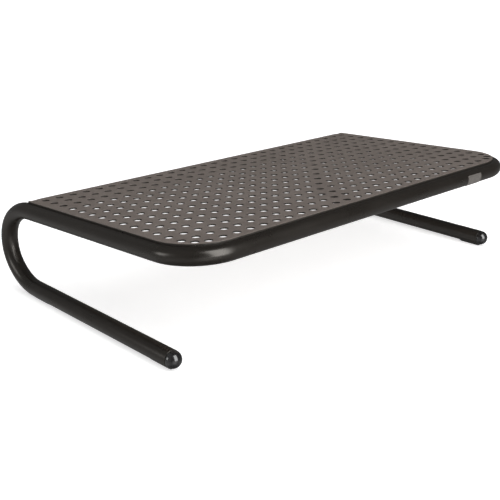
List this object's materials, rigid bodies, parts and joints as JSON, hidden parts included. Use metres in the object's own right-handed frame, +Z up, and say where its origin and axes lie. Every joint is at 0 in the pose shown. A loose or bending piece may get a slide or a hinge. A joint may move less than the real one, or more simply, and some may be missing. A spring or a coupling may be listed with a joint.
{
  "type": "monitor riser stand",
  "caption": "Low monitor riser: a bent tube frame with C-shaped rear bends and open feet carries a sloping perforated metal platform with a folded rear edge.",
  "frame": {"origin": "on the surface that the stand rests on, at the middle of its outline", "axes": "+X along the stand's width to the right, +Y to the back, +Z up"},
  "size_m": [0.3748, 0.2395, 0.0883],
  "materials": {
    "tube_paint": "dark pewter-brown satin powder coat",
    "sheet_paint": "pewter-grey satin powder coat",
    "cap_plastic": "glossy black moulded plastic",
    "pad_rubber": "matt black rubber",
    "badge_film": "plain satin grey film"
  },
  "bodies": {
    "root": {"tube_frame": "tube_paint", "perforated_platform": "sheet_paint", "left_end_cap": "cap_plastic", "right_end_cap": "cap_plastic", "left_front_pad": "pad_rubber", "right_front_pad": "pad_rubber", "left_rear_pad": "pad_rubber", "right_rear_pad": "pad_rubber", "front_badge": "badge_film", "weld_left_1": "tube_paint", "weld_left_2": "tube_paint", "weld_left_3": "tube_paint", "weld_right_1": "tube_paint", "weld_right_2": "tube_paint", "weld_right_3": "tube_paint", "weld_front_1": "tube_paint", "weld_front_2": "tube_paint", "weld_front_3": "tube_paint", "weld_front_4": "tube_paint"}
  },
  "joints": []
}
